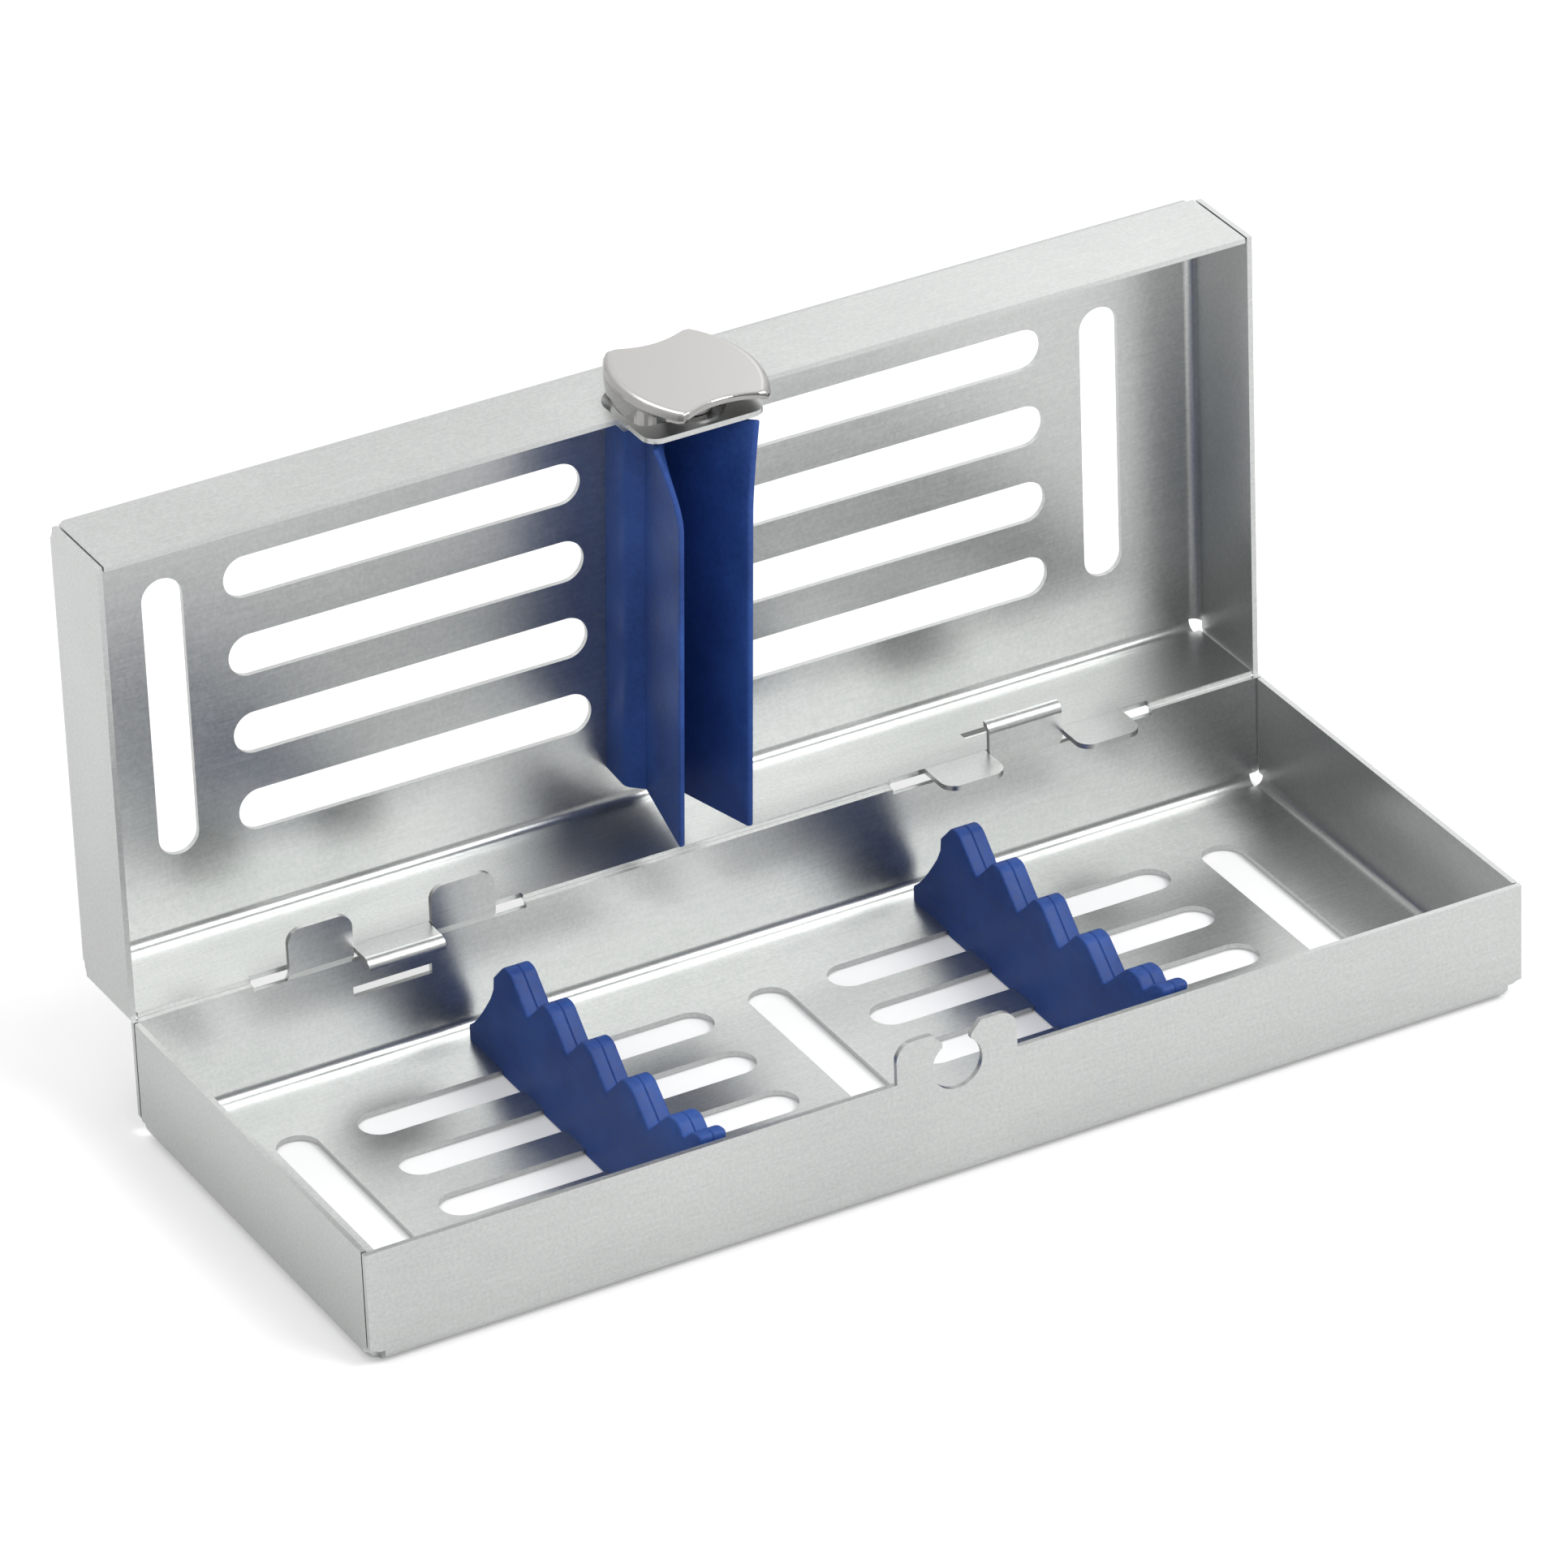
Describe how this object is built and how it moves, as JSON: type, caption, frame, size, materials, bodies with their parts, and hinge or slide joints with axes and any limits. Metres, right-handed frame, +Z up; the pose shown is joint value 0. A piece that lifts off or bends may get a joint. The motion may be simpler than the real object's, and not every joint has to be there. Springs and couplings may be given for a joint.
{
  "type": "dental instrument cassette",
  "caption": "Slotted steel instrument cassette with a hooked-on lid, a turn latch, toothed silicone racks and a finned silicone holder, for cleaning and sterilising hand instruments.",
  "frame": {"origin": "centre of the opened cassette's footprint, on the surface it stands on", "axes": "+X along the case, left to right; +Y from the front to the hinge; +Z up. The lid stands open at 90 degrees at rest."},
  "size_m": [0.18, 0.087, 0.0925],
  "materials": {
    "steel": "satin brushed",
    "knob_steel": "satin with a polished edge",
    "fitting_steel": "satin",
    "silicone": "matte"
  },
  "bodies": {
    "tray": {"tray_shell": "steel", "rack_left": "silicone", "rack_right": "silicone"},
    "lid": {"lid_shell": "steel", "lid_holder": "silicone", "latch_spring_washer": "fitting_steel"},
    "latch": {"latch_knob": "knob_steel", "latch_spindle": "fitting_steel", "latch_retaining_washer": "fitting_steel"}
  },
  "joints": [
    {"name": "lid_hinge", "type": "hinge", "parent": "tray", "child": "lid", "pos_m": [0, 0.02695, 0.0177], "axis": [1, 0, 0], "range_deg": [0, 90]},
    {"name": "latch_turn", "type": "hinge", "parent": "lid", "child": "latch", "pos_m": [0, 0.0274, 0.0882], "axis": [0, 0, 1], "range_deg": [0, 90]}
  ]
}
